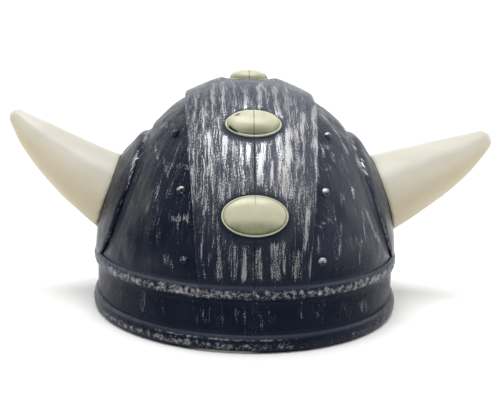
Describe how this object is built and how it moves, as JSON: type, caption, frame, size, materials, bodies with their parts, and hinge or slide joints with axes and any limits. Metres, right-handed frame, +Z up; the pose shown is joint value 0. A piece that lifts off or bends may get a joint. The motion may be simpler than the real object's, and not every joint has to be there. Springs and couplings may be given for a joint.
{
  "type": "horned costume helmet, moulded plastic painted to look like iron",
  "caption": "Horned costume helmet: dark dry-brushed moulded crown with raised band, side plates, two brow beads, cream horns and oval studs.",
  "frame": {"origin": "middle of the head opening, on the plane that the rim rests on", "axes": "+Z up, -Y towards the front of the helmet, +X towards the wearer's left horn"},
  "size_m": [0.3203, 0.232, 0.1541],
  "materials": {
    "crown_paint": "satin dark navy paint over moulded plastic, dry-brushed with silver",
    "horn_plastic": "smooth semi-matt cream",
    "stud_plastic": "smooth cream with a green-grey tinge at the edges"
  },
  "bodies": {
    "root": {"crown": "crown_paint", "horn_left": "horn_plastic", "horn_right": "horn_plastic", "stud_front_lower": "stud_plastic", "stud_front_upper": "stud_plastic", "stud_top": "stud_plastic", "stud_rear_upper": "stud_plastic", "stud_rear_lower": "stud_plastic"}
  },
  "joints": []
}
